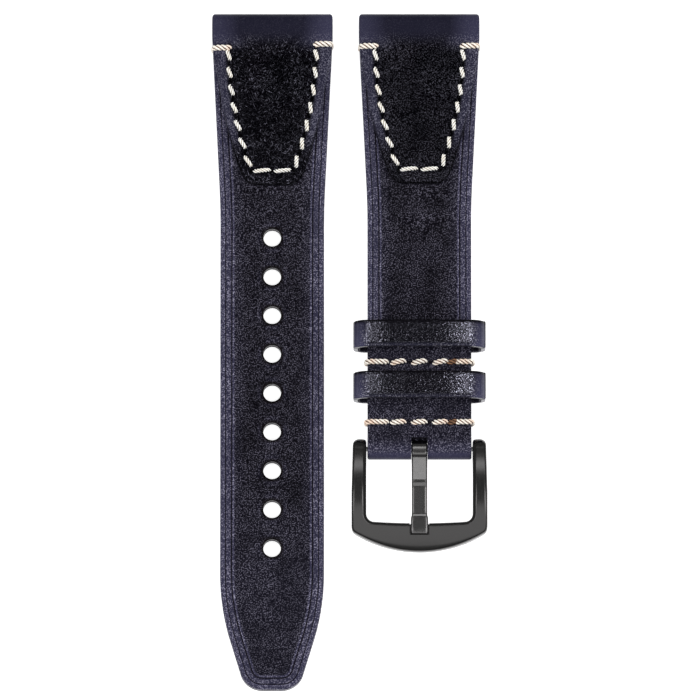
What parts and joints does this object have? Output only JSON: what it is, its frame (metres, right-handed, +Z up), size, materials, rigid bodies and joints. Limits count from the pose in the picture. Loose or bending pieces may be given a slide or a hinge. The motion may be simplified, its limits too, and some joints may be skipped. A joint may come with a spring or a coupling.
{
  "type": "watch strap",
  "caption": "Two-piece leather watch strap with a punched pointed half, stitched lug wraps, two keepers and a dark tang buckle.",
  "frame": {"origin": "middle of the two halves' footprint, on the surface they lie on", "axes": "+X across the straps from the long half to the short half, +Y towards the lug ends, +Z up out of the outer face"},
  "size_m": [0.0485, 0.1202, 0.008],
  "materials": {
    "strap_leather": "fine grain, dark navy, waxed",
    "wrap_leather": "fine grain, near black",
    "lining_leather": "smooth, dark",
    "filler": "pressed leather board, not seen",
    "thread": "waxed cream thread",
    "dark_metal": "satin gunmetal coating",
    "steel": "plain steel"
  },
  "bodies": {
    "short_strap": {"short_top_leather": "strap_leather", "short_lining": "lining_leather", "short_core": "filler", "short_lug_wrap": "wrap_leather", "short_patch_stitching": "thread", "buckle_end_stitching_upper": "thread", "buckle_end_stitching_lower": "thread", "fixed_keeper": "strap_leather", "fixed_keeper_lining": "lining_leather"},
    "loose_keeper": {"free_keeper": "strap_leather", "free_keeper_lining": "lining_leather", "free_keeper_seam": "thread"},
    "buckle": {"buckle_frame": "dark_metal", "spring_bar_barrel": "steel", "spring_bar_spring": "steel"},
    "tongue": {"buckle_tongue": "dark_metal"},
    "tip_left": {"spring_bar_tip_left": "steel"},
    "tip_right": {"spring_bar_tip_right": "steel"},
    "long_strap": {"long_top_leather": "strap_leather", "long_lining": "lining_leather", "long_core": "filler", "long_lug_wrap": "wrap_leather", "long_patch_stitching": "thread"}
  },
  "joints": [
    {"name": "buckle_swing", "type": "hinge", "parent": "short_strap", "child": "buckle", "pos_m": [0.01243, -0.0176, 0.0027], "axis": [-1, 0, 0], "range_deg": [-75, 50]},
    {"name": "tongue_swing", "type": "hinge", "parent": "buckle", "child": "tongue", "pos_m": [0.01243, -0.0176, 0.0027], "axis": [-1, 0, 0], "range_deg": [0, 44]},
    {"name": "tip_left_push", "type": "slide", "parent": "buckle", "child": "tip_left", "axis": [1, 0, 0], "range_m": [0, 0.0011], "stiffness_N_per_m": 120, "springref_m": -0.0005, "deforming": ["spring_bar_spring"]},
    {"name": "tip_right_push", "type": "slide", "parent": "buckle", "child": "tip_right", "axis": [-1, 0, 0], "range_m": [0, 0.0011], "stiffness_N_per_m": 120, "springref_m": -0.0005, "deforming": ["spring_bar_spring"]},
    {"name": "keeper_slide", "type": "slide", "parent": "short_strap", "child": "loose_keeper", "axis": [0, 1, 0], "range_m": [0, 0.0235]},
    {"name": "long_half_lift", "type": "slide", "parent": "short_strap", "child": "long_strap", "axis": [0, 0, 1], "range_m": [0, 0.04]}
  ]
}
